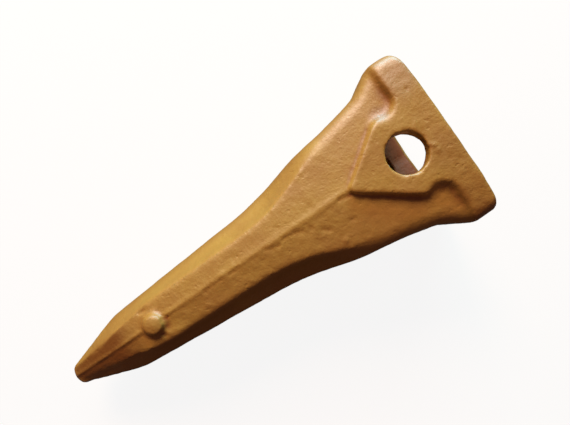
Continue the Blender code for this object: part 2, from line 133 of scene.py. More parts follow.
# The fine groove under the step: its depth, its place below the middle and its width
GROOVE_DEPTH = 0.00022
GROOVE_BELOW = 0.0011
GROOVE_WIDTH = 0.0009

# Sizes of the lumps in the casting's unevenness: broad patches, mould waves, the seam's wandering and its
# ragged step, the edge of the painted shade, the line on the wedge's crest kept from it, and the sand's
# pebble
PATCH_SIZE = 0.030
WAVE_SIZE = 0.013
WANDER_SIZE = 0.016
RAGGED_SIZE = 0.008
SHADE_EDGE_SIZE = 0.010
CREST_LUMP_SIZE = 0.005
PEBBLE_SIZE = 0.0033

# How strong the pebble is in its patches: the mean and the swing about it
PATCH_MEAN = 0.60
PATCH_SWING = 0.5

# How far waves and pebble are set down, in shares of their heights, so that little of them stands out
WAVES_SET_DOWN = 0.35
PEBBLE_SET_DOWN = 0.3

# How much more pebble lies below the tooth's middle, how far down that is full, and the height above the
# floor at which the skin has all its unevenness
LOWER_PEBBLE = 0.7
LOWER_PEBBLE_REACH = 0.006
RESTING_HEIGHT = 0.0012

# Where the notches and their walls run out softly: place in the row frame, radius, rounds of smoothing
SOFT_PLACES = (
    ((0.1046, 0.0280, 0.0845), 0.011, 8),
    ((0.1080, -0.0290, 0.0850), 0.011, 6),
    ((0.1140, 0.0440, 0.0850), 0.010, 2),
    ((0.1155, -0.0410, 0.0850), 0.011, 2),
)

# Shares of that radius, smoothed one after the other so that the softness fades outwards
SOFT_RINGS = (1.0, 0.8, 0.6)

# Painted shade beside the rim, on its notches, groove walls and lips: place in the row frame, radius, and
# how brown
SHADE_PLACES = (
    ((0.1048, 0.0272, 0.0845), 0.0085, 0.50),
    ((0.1148, 0.0370, 0.0865), 0.0080, 0.40),
    ((0.1163, -0.0370, 0.0872), 0.0080, 0.35),
    ((0.1220, -0.0530, 0.0860), 0.0090, 0.60),
    ((0.1236, -0.0150, 0.0914), 0.0200, 0.24),
    ((0.1220, -0.0490, 0.0895), 0.0080, 0.30),
    ((0.1240, 0.0370, 0.0905), 0.0150, 0.30),
)

# Share of such a place's radius that takes the full painted shade
SHADE_CORE = 0.35

# Painted shade by distance from the mouth: where it begins and is full on the wedge's side faces, which
# turn from the lamps, and on the blade's underside, and where it ends and is still full along the top edge
SHADE_WEDGE = (0.215, 0.232)
SHADE_UNDERSIDE = (0.150, 0.215)
SHADE_TOP_EDGE = (0.245, 0.225)

# How far the skin has to face sideways for painted shade on the wedge, and down for it on the underside
WEDGE_SLOPE = (0.72, 0.90)
UNDERSIDE_SLOPE = (-0.45, -0.70)

# How strong the painted shade is on the underside and along the top edge, and how far down the latter
# reaches
UNDERSIDE_SHADE = 0.38
TOP_EDGE_SHADE = 0.40
TOP_EDGE_REACH = 0.0055

# The wedge's painted shade: how far its edge wanders, and the line on its crest kept from it, by height
# over the middle, width, how much of the shade it takes away, and how broken it is: its mean and the swing
# about it
SHADE_EDGE_WANDER = 0.003
WEDGE_CREST = 0.0006
WEDGE_CREST_WIDTH = 0.0008
CREST_UNSHADED = 0.8
CREST_LUMP_MEAN = 0.6
CREST_LUMP_SWING = 0.6

# Depths below the smoothed skin at which the painted shade in hollows begins and is full
SHADE_DEPTHS = (0.00012, 0.00085)

# Slopes towards the upper lip, which face the lamps and take less of that painted shade: where that begins
# and is full, and how much less
LAMP_FACING_SLOPE = (0.15, 0.50)
LAMP_FACING_SHARE = 0.6

# How far the paint's roughness varies below and above its setting
MATT_VARIES = (-0.07, 0.09)

# The warm lamp above the tooth and the low cool window: direction in the row frame, size, colour
KEY_DIRECTION = (0.14, 0.77, 0.62)
KEY_SIZE = (0.50, 0.50)
KEY_COLOUR = (1.0, 0.73, 0.62)
WINDOW_DIRECTION = (0.60, 0.76, 0.26)
WINDOW_SIZE = (0.90, 0.50)
WINDOW_COLOUR = (0.37, 0.79, 1.0)

# The place that the lamps face, and the colour of the room's light
LAMP_AIM = Vector((0.0, 0.0, 0.06))
ROOM_COLOUR = (1.0, 0.52, 0.50, 1.0)

# The floor's own colour, and how much white the camera sees on it
FLOOR_COLOUR = (0.10, 0.08, 0.06, 1.0)
FLOOR_GLOW = 0.90
WHITE = (1.0, 1.0, 1.0, 1.0)

# The camera: place, turn in degrees, sensor width in millimetres, nearest distance that it sees, and its
# shift in pixels of a picture this wide
CAMERA_PLACE = (0.008079, -0.0015, 0.316438)
CAMERA_TURN = (4.86783, -3.45195, -34.1005)
SENSOR_WIDTH = 36.0
NEAREST_SEEN = 0.01
CAMERA_SHIFT = (-8.293, 2.322)
PICTURE_WIDTH = 570


class CastingSettings(bpy.types.PropertyGroup):
    """How uneven the casting's skin is"""

    voxel: bpy.props.FloatProperty(
        name="Surface step",
        description="Size of the even grid that the casting's skin is rebuilt on",
        default=0.0011,
        min=0.0008,
        max=0.0030,
        unit="LENGTH",
    )
    wave_height: bpy.props.FloatProperty(
        name="Mould waves",
        description="Height of the broad, shallow waves that the sand mould leaves",
        default=0.00022,
        min=0.0,
        max=0.0010,
        unit="LENGTH",
    )
    pebble_height: bpy.props.FloatProperty(
        name="Pebble",
        description="Height of the pebbled sand skin",
        default=0.00011,
        min=0.0,
        max=0.0005,
        unit="LENGTH",
    )
    seam_height: bpy.props.FloatProperty(
        name="Parting seam",
        description="Height of the seam where the two mould halves met",
        default=0.00040,
        min=0.0,
        max=0.0010,
        unit="LENGTH",
    )
    mould_shift: bpy.props.FloatProperty(
        name="Mould shift",
        description="Step below the seam where one mould half sat a little further in",
        default=0.00045,
        min=0.0,
        max=0.0012,
        unit="LENGTH",
    )


class PaintSettings(bpy.types.PropertyGroup):
    """Colours and sheen of the paint"""

    ochre: bpy.props.FloatVectorProperty(
        name="Ochre",
        description="Main colour of the paint",
        default=(0.420, 0.203, 0.032),
        min=0.0,
        max=1.0,
        size=3,
        subtype="COLOR",
    )
    golden: bpy.props.FloatVectorProperty(
        name="Golden ochre",
        description="Colour where the paint is thick and yellow",
        default=(0.465, 0.250, 0.037),
        min=0.0,
        max=1.0,
        size=3,
        subtype="COLOR",
    )
    # Painted shade: brown laid in hollows and under steps, less on slopes that face the lamps
    shade_umber: bpy.props.FloatVectorProperty(
        name="Umber",
        description="Colour in the hollows and under steps, where dust lies",
        default=(0.28, 0.090, 0.012),
        min=0.0,
        max=1.0,
        size=3,
        subtype="COLOR",
    )
    # Painted shade: brown laid on faces that turn from the lamps, along the top edge and beside the rim
    facing_shade_brown: bpy.props.FloatVectorProperty(
        name="Thin paint",
        description="Colour of the thin paint on the wedge, along the top edge and beside the rim",
        default=(0.23, 0.080, 0.007),
        min=0.0,
        max=1.0,
        size=3,
        subtype="COLOR",
    )
    # Painted shade: brown laid on the walls inside the socket, where little light reaches
    socket_shade_brown: bpy.props.FloatVectorProperty(
        name="Socket brown",
        description="Colour of the walls inside the socket",
        default=(0.26, 0.066, 0.012),
        min=0.0,
        max=1.0,
        size=3,
        subtype="COLOR",
    )
    sheen_weight: bpy.props.FloatProperty(
        name="Sheen",
        description="How strongly the paint's clear top layer shines",
        default=0.60,
        min=0.0,
        max=1.0,
        subtype="FACTOR",
    )
    sheen_roughness: bpy.props.FloatProperty(
        name="Sheen roughness",
        description="How blurred the shine of the clear top layer is",
        default=0.43,
        min=0.0,
        max=1.0,
        subtype="FACTOR",
    )
    roughness: bpy.props.FloatProperty(
        name="Roughness",
        description="How matt the paint is",
        default=0.50,
        min=0.0,
        max=1.0,
        subtype="FACTOR",
    )


class StageSettings(bpy.types.PropertyGroup):
    """Lamps, room, floor and lens"""

    key_power: bpy.props.FloatProperty(
        name="Key lamp",
        description="Power of the warm soft lamp above and beyond the tooth",
        default=19.5,
        min=0.0,
        unit="POWER",
    )
    window_power: bpy.props.FloatProperty(
        name="Window lamp",
        description="Power of the low, wide, cool lamp that draws the sheen on the upper edges",
        default=27.5,
        min=0.0,
        unit="POWER",
    )
    lamp_distance: bpy.props.FloatProperty(
        name="Lamp distance",
        description="Distance from the tooth to the lamps",
        default=1.30,
        min=0.3,
        unit="LENGTH",
    )
    room_light: bpy.props.FloatProperty(
        name="Room light",
        description="Strength of the warm light from all round",
        default=0.100,
        min=0.0,
        max=2.0,
    )
    floor_size: bpy.props.FloatProperty(
        name="Floor size",
        description="Side of the square floor",
        default=8.0,
        min=1.0,
        unit="LENGTH",
    )
    lens: bpy.props.FloatProperty(
        name="Lens",
        description="Focal length of the camera, on a 36 mm sensor",
        default=26.287,
        min=10.0,
        unit="CAMERA",
    )


def smooth_step(low, high, value):
    """0 below low, 1 above high and an even curve between, for single numbers and arrays."""
    share = np.clip((value - low) / (high - low), 0.0, 1.0)
    return share * share * (3.0 - 2.0 * share)


def noise_field(points, size, offset):
    """Even noise from -1 to 1 at each point, with lumps of about this size."""
    scale = 1.0 / size
    return np.array([noise.noise(Vector(point) * scale + offset) for point in points])


def merged_copy(node):
    """A copy of a CAD node's mesh with its loose triangles joined."""
    bm = bmesh.new()
    bm.from_mesh(node.data)
    bmesh.ops.remove_doubles(bm, verts=bm.verts, dist=JOIN_DISTANCE)
    return bm


def rebuild_skin(bm, name, voxel):
    """A new object that holds the joined mesh rebuilt on an even grid."""
    mesh = bpy.data.meshes.new(name)
    bm.to_mesh(mesh)
    bm.free()
    piece = bpy.data.objects.new(name, mesh)
    bpy.context.scene.collection.objects.link(piece)
    remesh = piece.modifiers.new("even_grid", "REMESH")
    remesh.mode = "VOXEL"
    remesh.voxel_size = voxel
    evaluated = piece.evaluated_get(bpy.context.evaluated_depsgraph_get())
    skin = bpy.data.meshes.new_from_object(evaluated)
    piece.modifiers.clear()
    piece.data = skin
    bpy.data.meshes.remove(mesh)
    skin.name = name
    return piece


def smooth(bm, verts, rounds):
    """Even out these points a number of times."""
    for _ in range(rounds):
        bmesh.ops.smooth_vert(
            bm,
            verts=verts,
            factor=0.5,
            use_axis_x=True,
            use_axis_y=True,
            use_axis_z=True,
        )


def own_frame(points):
    """Row frame points as (distance from the mouth, height across the lips, width from the middle)."""
    moved = points - np.array(MOUTH)
    along = -(moved[:, 0] * math.cos(LEAN) + moved[:, 2] * math.sin(LEAN))
    width = -moved[:, 0] * math.sin(LEAN) + moved[:, 2] * math.cos(LEAN)
    return along, moved[:, 1], width


def outline_height(along, rise):
    """Half height of the casting's outline at each point's distance from the mouth."""
    stretch = np.clip((along / OUTLINE_STRETCH).astype(int), 0, OUTLINE_STRETCHES - 1)
    outline = np.zeros(OUTLINE_STRETCHES)
    np.maximum.at(outline, stretch, rise)
    return outline[stretch]


def inside_share(points):
    """1 on the walls of the socket, 0 on the outside of the casting."""
    along, height, width = own_frame(points)
    aside = np.abs(width) + SOCKET_WIDTH_LOSS * along
    above = np.abs(height) + SOCKET_HEIGHT_LOSS * along
    within_width = smooth_step(SOCKET_HALF_WIDTH, SOCKET_HALF_WIDTH - SOCKET_SKIN, aside)
    within_height = smooth_step(SOCKET_HALF_HEIGHT, SOCKET_HALF_HEIGHT - SOCKET_SKIN, above)
    past_mouth = smooth_step(0.0, MOUTH_SKIN, along)
    before_end = smooth_step(SOCKET_DEPTH, SOCKET_DEPTH - SOCKET_SKIN, along)
    return within_width * within_height * past_mouth * before_end


def outside(points):
    """Which points lie on the outside of the casting."""
    return inside_share(points) < OUTSIDE_BELOW


def outer_edges(points):
    """Which points lie near the casting's top and bottom edges, or on the blade beside its seams."""
    along, height, _ = own_frame(points)
    rise = np.abs(height)
    near_outline = rise > outline_height(along, rise) - EDGE_BAND
    beside_seam = (along > ROUNDED_BLADE[0]) & (along < ROUNDED_BLADE[1]) & (rise > SEAM_MARGIN)
    within = (along > ROUNDED_EDGES[0]) & (along < ROUNDED_EDGES[1]) & outside(points)
    return (near_outline | beside_seam) & within


def chosen(bm, mask):
    """The points of a mesh for which the mask is true."""
    return [vertex for vertex, wanted in zip(bm.verts, mask) if wanted]


def soften_form(bm):
    """Round the skin a little everywhere, more along its outer edges, and most at its soft places."""
    smooth(bm, bm.verts, SKIN_ROUNDS)
    points = np.array([vertex.co for vertex in bm.verts])
    smooth(bm, chosen(bm, outer_edges(points)), EDGE_ROUNDS)
    on_outside = outside(points)
    for place, radius, rounds in SOFT_PLACES:
        distance = np.linalg.norm(points - np.array(place), axis=1)
        for share in SOFT_RINGS:
            smooth(bm, chosen(bm, on_outside & (distance < radius * share)), rounds)


def seam_relief(points, normals, settings):
    """The parting seam along both side ridges, and the step below it from the mould's shift."""
    along, height, _ = own_frame(points)
    side = smooth_step(*SEAM_SLOPE, np.abs(normals[:, 2]))
    from_boss = np.hypot(along - BOSS_FROM_MOUTH, height)
    blade = smooth_step(*SEAM_START, along) * side
    blade *= smooth_step(BOSS_REACH - BOSS_FADE, BOSS_REACH + BOSS_FADE, from_boss)
    towards_point = smooth_step(*SEAM_SHARPENS, along)
    off = height - SEAM_WANDER * noise_field(points, WANDER_SIZE, Vector((3.1, 0.0, 0.0)))
    ragged = RAGGED_MEAN + RAGGED_SWING * noise_field(points, RAGGED_SIZE, Vector((0.0, 7.7, 0.0)))
    crest_height = CREST_HEIGHT - CREST_SINKS * towards_point
    crest = np.exp(-(((off - crest_height) / (CREST_WIDTH - CREST_NARROWS * towards_point)) ** 2))
    ridge = settings.seam_height * (CREST_SHARE + CREST_GROWS * towards_point) * crest
    step = settings.mould_shift * (STEP_SHARE + STEP_GROWS * towards_point) * ragged
    fallen = step * smooth_step(*STEP_EDGE, off) * (1.0 - STEP_RETURNED * smooth_step(*STEP_RETURN, off))
    in_groove = np.exp(-(((off + GROOVE_BELOW) / GROOVE_WIDTH) ** 2))
    return (ridge - fallen - GROOVE_DEPTH * towards_point * ragged * in_groove) * blade


# Dents, nicks and bumps of this casting: two ends in the row frame, radius, and height over the skin
MARKS = (
    ((-0.0767, 0.0105, 0.0581), (-0.0731, 0.0107, 0.0586), 0.0011, -0.00065),
    ((-0.0665, -0.0007, 0.0629), (-0.0632, -0.0005, 0.0616), 0.0011, -0.00060),
    ((-0.0736, -0.0071, 0.0591), (-0.0721, -0.0092, 0.0590), 0.0010, 0.00035),
    ((-0.0712, -0.0074, 0.0594), (-0.0698, -0.0104, 0.0592), 0.0010, -0.00030),
    ((-0.0687, -0.0068, 0.0599), (-0.0676, -0.0092, 0.0597), 0.0010, 0.00035),
    ((-0.0779, -0.0104, 0.0580), (-0.0623, -0.0116, 0.0601), 0.0038, 0.00070),
    ((-0.0370, -0.0005, 0.0654), (-0.0293, -0.0005, 0.0665), 0.0010, -0.00040),
    ((-0.0269, -0.0005, 0.0669), (-0.0246, -0.0006, 0.0672), 0.0010, -0.00035),
    ((-0.0187, -0.0005, 0.0681), (-0.0117, -0.0005, 0.0691), 0.0010, -0.00045),
    ((-0.0046, -0.0006, 0.0702), (-0.0005, -0.0006, 0.0708), 0.0010, -0.00025),
    ((-0.0225, 0.0020, 0.0674), (-0.0225, 0.0020, 0.0674), 0.0012, 0.00030),
    ((-0.0143, 0.0022, 0.0686), (-0.0143, 0.0022, 0.0686), 0.0012, 0.00030),
    ((0.0059, 0.0001, 0.0717), (0.0111, -0.0022, 0.0723), 0.0011, -0.00040),
    ((0.0142, -0.0028, 0.0727), (0.0142, -0.0028, 0.0727), 0.0013, -0.00060),
    ((0.0181, -0.0010, 0.0735), (0.0215, -0.0012, 0.0740), 0.0011, -0.00035),
    ((0.0267, -0.0017, 0.0747), (0.0285, -0.0029, 0.0748), 0.0011, -0.00030),
    ((0.0308, -0.0038, 0.0750), (0.0308, -0.0038, 0.0750), 0.0013, -0.00045),
    ((0.0357, -0.0043, 0.0757), (0.0366, -0.0064, 0.0756), 0.0012, -0.00035),
    ((0.0331, -0.0064, 0.0751), (0.0331, -0.0064, 0.0751), 0.0014, -0.00025),
    ((0.0406, -0.0093, 0.0759), (0.0447, -0.0122, 0.0762), 0.0013, -0.00045),
    ((0.0349, -0.0145, 0.0745), (0.0349, -0.0145, 0.0745), 0.0030, -0.00030),
    ((0.0491, -0.0221, 0.0758), (0.0491, -0.0221, 0.0758), 0.0016, 0.00040),
    ((0.0573, -0.0137, 0.0780), (0.0590, -0.0145, 0.0781), 0.0013, -0.00040),
    ((0.0416, 0.0060, 0.0764), (0.0416, 0.0060, 0.0764), 0.0013, -0.00025),
    ((0.0198, 0.0065, 0.0731), (0.0198, 0.0065, 0.0731), 0.0013, -0.00030),
    ((-0.0094, 0.0057, 0.0688), (-0.0117, 0.0066, 0.0684), 0.0011, -0.00020),
    ((0.0228, 0.0171, 0.0723), (0.0228, 0.0171, 0.0723), 0.0014, 0.00035),
    ((0.0380, 0.0224, 0.0741), (0.0497, 0.0264, 0.0755), 0.0013, 0.00025),
    ((-0.0389, -0.0086, 0.0641), (-0.0389, -0.0086, 0.0641), 0.0016, 0.00035),
    ((-0.0094, -0.0112, 0.0682), (-0.0094, -0.0112, 0.0682), 0.0012, 0.00030),
    ((0.0583, -0.0005, 0.0794), (0.0662, -0.0016, 0.0807), 0.0015, -0.00060),
    ((0.1162, -0.0025, 0.0899), (0.1194, -0.0053, 0.0910), 0.0011, 0.00055),
    ((0.1191, -0.0084, 0.0910), (0.1191, -0.0084, 0.0910), 0.0012, 0.00050),
    ((0.1167, 0.0023, 0.0906), (0.1167, 0.0023, 0.0906), 0.0011, -0.00050),
    ((0.1179, 0.0060, 0.0908), (0.1179, 0.0060, 0.0908), 0.0011, -0.00040),
    ((0.1158, 0.0100, 0.0905), (0.1175, 0.0122, 0.0907), 0.0011, 0.00035),
    ((0.1241, 0.0304, 0.0911), (0.1241, 0.0304, 0.0911), 0.0011, -0.00040),
    ((0.1257, 0.0110, 0.0919), (0.1257, 0.0110, 0.0919), 0.0012, 0.00030),
    ((0.1220, -0.0160, 0.0914), (0.1220, -0.0160, 0.0914), 0.0012, -0.00030),
    ((0.1263, -0.0188, 0.0919), (0.1263, -0.0199, 0.0919), 0.0012, -0.00030),
    ((0.1129, -0.0250, 0.0898), (0.1142, -0.0268, 0.0894), 0.0012, 0.00035),
)

# The wedge's lower rim on the side that faces up, rounded off along its length, given in the same way
WORN_RIM = ((-0.1308, -0.0072, 0.0378), (-0.0905, -0.0112, 0.0548), 0.0030, -0.00100)

# How many of its radii a mark reaches
MARK_REACH = 3.0


def distance_to_segment(points, start, end):
    """How far each point lies from the straight line between two places."""
    start = np.array(start)
    way = np.array(end) - start
    share = np.clip((points - start) @ way / max(way @ way, 1e-12), 0.0, 1.0)
    return np.linalg.norm(points - start - share[:, None] * way, axis=1)


def mark_relief(points):
    """Dents and bumps at their own places, each a rounded spot or a rounded line."""
    relief = np.zeros(len(points))
    for start, end, radius, rise in (*MARKS, WORN_RIM):
        share = distance_to_segment(points, start, end) / radius
        near = share < MARK_REACH
        relief[near] += rise * np.exp(-(share[near] ** 2))
    return relief


def painted_shade(points, normals):
    """How much painted shade each point takes: most on the wedge's side faces, less below it and beside the
    rim.
    """
    along, height, _ = own_frame(points)
    wander = SHADE_EDGE_WANDER * noise_field(points, SHADE_EDGE_SIZE, Vector((2.0, 4.0, 9.0)))
    wedge = smooth_step(*SHADE_WEDGE, along + wander)
    side = smooth_step(*WEDGE_SLOPE, np.abs(normals[:, 2]))
    lumps = noise_field(points, CREST_LUMP_SIZE, Vector((8.0, 1.0, 3.0)))
    lumps = CREST_LUMP_MEAN + CREST_LUMP_SWING * lumps
    crest = np.clip(lumps, 0.0, 1.0) * np.exp(-(((height - WEDGE_CREST) / WEDGE_CREST_WIDTH) ** 2))
    point = wedge * side * (1.0 - CREST_UNSHADED * crest)
    from_edge = height - outline_height(along, np.abs(height))
    edge = TOP_EDGE_SHADE * smooth_step(-TOP_EDGE_REACH, 0.0, from_edge)
    edge *= smooth_step(*SHADE_TOP_EDGE, along)
    below = UNDERSIDE_SHADE * smooth_step(*SHADE_UNDERSIDE, along)
    below *= smooth_step(*UNDERSIDE_SLOPE, normals[:, 1])
    shaded = np.maximum(np.maximum(point, edge), below)
    for place, radius, share in SHADE_PLACES:
        distance = np.linalg.norm(points - np.array(place), axis=1)
        shaded = np.maximum(shaded, share * smooth_step(radius, SHADE_CORE * radius, distance))
    return shaded


def skin_relief(points, normals, settings):
    """Waves and pebble that the sand leaves all over the casting, but not where it rests on the floor."""
    waves = noise_field(points, WAVE_SIZE, Vector((11.0, 5.0, 2.0)))
    pebble = noise_field(points, PEBBLE_SIZE, Vector((1.0, 9.0, 4.0)))
    patches = PATCH_MEAN + PATCH_SWING * noise_field(points, PATCH_SIZE, Vector((6.0, 1.0, 8.0)))
    patches += LOWER_PEBBLE * smooth_step(0.0, -LOWER_PEBBLE_REACH, points[:, 1])
    relief = settings.wave_height * (waves - WAVES_SET_DOWN)
    relief += settings.pebble_height * patches * (pebble - PEBBLE_SET_DOWN)
    resting = smooth_step(RESTING_HEIGHT, 0.0, points[:, 2])
    return relief * (1.0 - resting)


def hollow_depth(skin, rounds):
    """How deep each point of the skin lies below the same skin when it is smoothed."""
    count = len(skin.vertices)
    points = np.empty(count * 3)
    skin.vertices.foreach_get("co", points)
    points = points.reshape(-1, 3)
    normals = np.empty(count * 3)
    skin.vertices.foreach_get("normal", normals)
    normals = normals.reshape(-1, 3)
    edges = np.empty(len(skin.edges) * 2, dtype=np.int64)
    skin.edges.foreach_get("vertices", edges)
    edges = edges.reshape(-1, 2)
    links = np.bincount(edges.ravel(), minlength=count).astype(float)
    links[links == 0] = 1.0
    moved = points.copy()
    for _ in range(rounds):
        total = np.zeros_like(moved)
        for axis in range(3):
            total[:, axis] = np.bincount(edges[:, 0], moved[edges[:, 1], axis], count)
            total[:, axis] += np.bincount(edges[:, 1], moved[edges[:, 0], axis], count)
        moved = total / links[:, None]
    return np.einsum("ij,ij->i", moved - points, normals)


def write_attribute(mesh, name, values):
    """Keep one number per point on the mesh, for the paint to read."""
    attribute = mesh.attributes.new(name, "FLOAT", "POINT")
    attribute.data.foreach_set("value", values.astype(np.float32))


def socket(group, name, kind, way, default=None):
    """A new input or output of a node group."""
    made = group.interface.new_socket(name=name, in_out=way, socket_type=kind)
    if default is not None:
        made.default_value = default
    return made


def node_in(tree, kind, **values):
    """A new node with its plain settings given by name and its unlinked inputs by number or name."""
    made = tree.nodes.new(kind)
    inputs = values.pop("inputs", {})
    for name, value in values.items():
        setattr(made, name, value)
    for name, value in inputs.items():
        made.inputs[name].default_value = value
    return made


def sand_grain_group():
    """Fine height of a painted sand-cast skin: round grains, softer lumps and sparse pinholes."""
    group = bpy.data.node_groups.new("sand_cast_grain", "ShaderNodeTree")
    socket(group, "Grain size", "NodeSocketFloat", "INPUT", 0.0016)
    socket(group, "Pinholes", "NodeSocketFloat", "INPUT", 0.5)
    socket(group, "Height", "NodeSocketFloat", "OUTPUT")
    start = group.nodes.new("NodeGroupInput")
    end = group.nodes.new("NodeGroupOutput")
    place = group.nodes.new("ShaderNodeTexCoord")
    rate = node_in(group, "ShaderNodeMath", operation="DIVIDE", inputs={0: 1.0})
    group.links.new(start.outputs["Grain size"], rate.inputs[1])
    fine = node_in(group, "ShaderNodeTexNoise", inputs={"Detail": 3.0, "Roughness": 0.55})
    group.links.new(place.outputs["Object"], fine.inputs["Vector"])
    group.links.new(rate.outputs[0], fine.inputs["Scale"])
    slower = node_in(group, "ShaderNodeMath", operation="MULTIPLY", inputs={1: 0.42})
    group.links.new(rate.outputs[0], slower.inputs[0])
    lumps = node_in(
        group,
        "ShaderNodeTexVoronoi",
        feature="SMOOTH_F1",
        inputs={"Smoothness": 0.7, "Randomness": 1.0},
    )
    group.links.new(place.outputs["Object"], lumps.inputs["Vector"])
    group.links.new(slower.outputs[0], lumps.inputs["Scale"])
    holes = node_in(group, "ShaderNodeTexNoise", inputs={"Detail": 1.0})
    group.links.new(place.outputs["Object"], holes.inputs["Vector"])
    group.links.new(slower.outputs[0], holes.inputs["Scale"])
    deep = node_in(
        group,
        "ShaderNodeMapRange",
        inputs={"From Min": 0.66, "From Max": 0.76, "To Min": 0.0, "To Max": -1.0},
    )
    group.links.new(holes.outputs["Fac"], deep.inputs["Value"])
    pinholes = node_in(group, "ShaderNodeMath", operation="MULTIPLY")
    group.links.new(deep.outputs["Result"], pinholes.inputs[0])
    group.links.new(start.outputs["Pinholes"], pinholes.inputs[1])
    both = node_in(group, "ShaderNodeMath", operation="MULTIPLY_ADD", inputs={1: -0.55})
    group.links.new(lumps.outputs["Distance"], both.inputs[0])
    group.links.new(fine.outputs["Fac"], both.inputs[2])
    height = node_in(group, "ShaderNodeMath", operation="ADD")
    group.links.new(both.outputs[0], height.inputs[0])
    group.links.new(pinholes.outputs[0], height.inputs[1])
    group.links.new(height.outputs[0], end.inputs["Height"])
    return group


def ochre_paint_material(settings):
    """Half-gloss ochre paint on a sand-cast skin: golden in patches, with painted shade in brown laid over
    it.
    """
    paint = bpy.data.materials.new("ochre_paint_on_cast_steel")
    paint.use_nodes = True
    tree = paint.node_tree
    shader = tree.nodes["Principled BSDF"]
    shader.inputs["Metallic"].default_value = 0.0
    shader.inputs["IOR"].default_value = 1.5
    shader.inputs["Coat Weight"].default_value = settings.sheen_weight
    shader.inputs["Coat Roughness"].default_value = settings.sheen_roughness
    place = tree.nodes.new("ShaderNodeTexCoord")
    patches = node_in(tree, "ShaderNodeTexNoise", inputs={"Scale": 34.0, "Detail": 3.0, "Roughness": 0.6})
    tree.links.new(place.outputs["Object"], patches.inputs["Vector"])
    spread = node_in(tree, "ShaderNodeMapRange", inputs={"From Min": 0.38, "From Max": 0.66})
    tree.links.new(patches.outputs["Fac"], spread.inputs["Value"])
    yellow = node_in(tree, "ShaderNodeMix", data_type="RGBA", blend_type="MIX")
    yellow.inputs["A"].default_value = (*settings.ochre, 1.0)
    yellow.inputs["B"].default_value = (*settings.golden, 1.0)
    tree.links.new(spread.outputs["Result"], yellow.inputs["Factor"])
    colour = yellow.outputs["Result"]
    # Painted shade: browns laid over the ochre in hollows, on faces turned from the lamps and inside the
    # socket
    for attribute, brown in (
        ("hollow_shade", settings.shade_umber),
        ("painted_shade", settings.facing_shade_brown),
        ("inside", settings.socket_shade_brown),
    ):
        share = node_in(tree, "ShaderNodeAttribute", attribute_name=attribute)
        shade_mix = node_in(tree, "ShaderNodeMix", data_type="RGBA", blend_type="MIX")
        tree.links.new(share.outputs["Fac"], shade_mix.inputs["Factor"])
        tree.links.new(colour, shade_mix.inputs["A"])
        shade_mix.inputs["B"].default_value = (*brown, 1.0)
        colour = shade_mix.outputs["Result"]
    tree.links.new(colour, shader.inputs["Base Color"])
    sheen = node_in(tree, "ShaderNodeTexNoise", inputs={"Scale": 260.0, "Detail": 2.0})
    tree.links.new(place.outputs["Object"], sheen.inputs["Vector"])
    matt = node_in(
        tree,
        "ShaderNodeMapRange",
        inputs={
            "To Min": settings.roughness + MATT_VARIES[0],
            "To Max": settings.roughness + MATT_VARIES[1],
        },
    )
    tree.links.new(sheen.outputs["Fac"], matt.inputs["Value"])
    tree.links.new(matt.outputs["Result"], shader.inputs["Roughness"])
    grain = tree.nodes.new("ShaderNodeGroup")
    grain.node_tree = sand_grain_group()
    grain.inputs["Grain size"].default_value = 0.0017
    grain.inputs["Pinholes"].default_value = 0.5
    bump = node_in(tree, "ShaderNodeBump", inputs={"Strength": 0.55, "Distance": 0.00045})
    tree.links.new(grain.outputs["Height"], bump.inputs["Height"])
    tree.links.new(bump.outputs["Normal"], shader.inputs["Normal"])
    return paint


class TOOTH_OT_casting(bpy.types.Operator):
    """Rebuild the casting's skin with its mould waves, pebble, parting seam and marks, and paint it"""

    bl_idname = "tooth.casting"
    bl_label = "Dress the casting"

    def execute(self, context):
        settings = context.scene.tooth_casting
        paint = context.scene.tooth_paint
        piece = rebuild_skin(merged_copy(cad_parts["rock_tooth"]), "tooth_casting", settings.voxel)
        skin = piece.data
        bm = bmesh.new()
        bm.from_mesh(skin)
        soften_form(bm)
        bm.normal_update()
        points = np.array([vertex.co for vertex in bm.verts])
        normals = np.array([vertex.normal for vertex in bm.verts])
        relief = skin_relief(points, normals, settings) + seam_relief(points, normals, settings)
        relief += mark_relief(points)
        moved = np.clip(points + normals * relief[:, None], *CAD_BOX)
        for vertex, place in zip(bm.verts, moved):
            vertex.co = place
        bm.to_mesh(skin)
        bm.free()
        skin.shade_smooth()
        # Painted shade: how much brown lies in hollows, on faces turned from the lamps and inside the
        # socket
        deep = hollow_depth(skin, HOLLOW_ROUNDS)
        away_from_lamps = 1.0 - LAMP_FACING_SHARE * smooth_step(*LAMP_FACING_SLOPE, normals[:, 1])
        write_attribute(skin, "hollow_shade", smooth_step(*SHADE_DEPTHS, deep) * away_from_lamps)
        write_attribute(skin, "painted_shade", painted_shade(points, normals))
        write_attribute(skin, "inside", inside_share(points))
        skin.materials.clear()
        skin.materials.append(ochre_paint_material(paint))
        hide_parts("rock_tooth")
        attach(piece, "root")
        return {"FINISHED"}


def show_to_camera(tree, shown, plain, out):
    """Send one shader to the camera's own rays and another to all other light."""
    seen = tree.nodes.new("ShaderNodeLightPath")
    choose = tree.nodes.new("ShaderNodeMixShader")
    tree.links.new(seen.outputs["Is Camera Ray"], choose.inputs["Fac"])
    tree.links.new(plain, choose.inputs[1])
    tree.links.new(shown, choose.inputs[2])
    tree.links.new(choose.outputs["Shader"], out.inputs["Surface"])


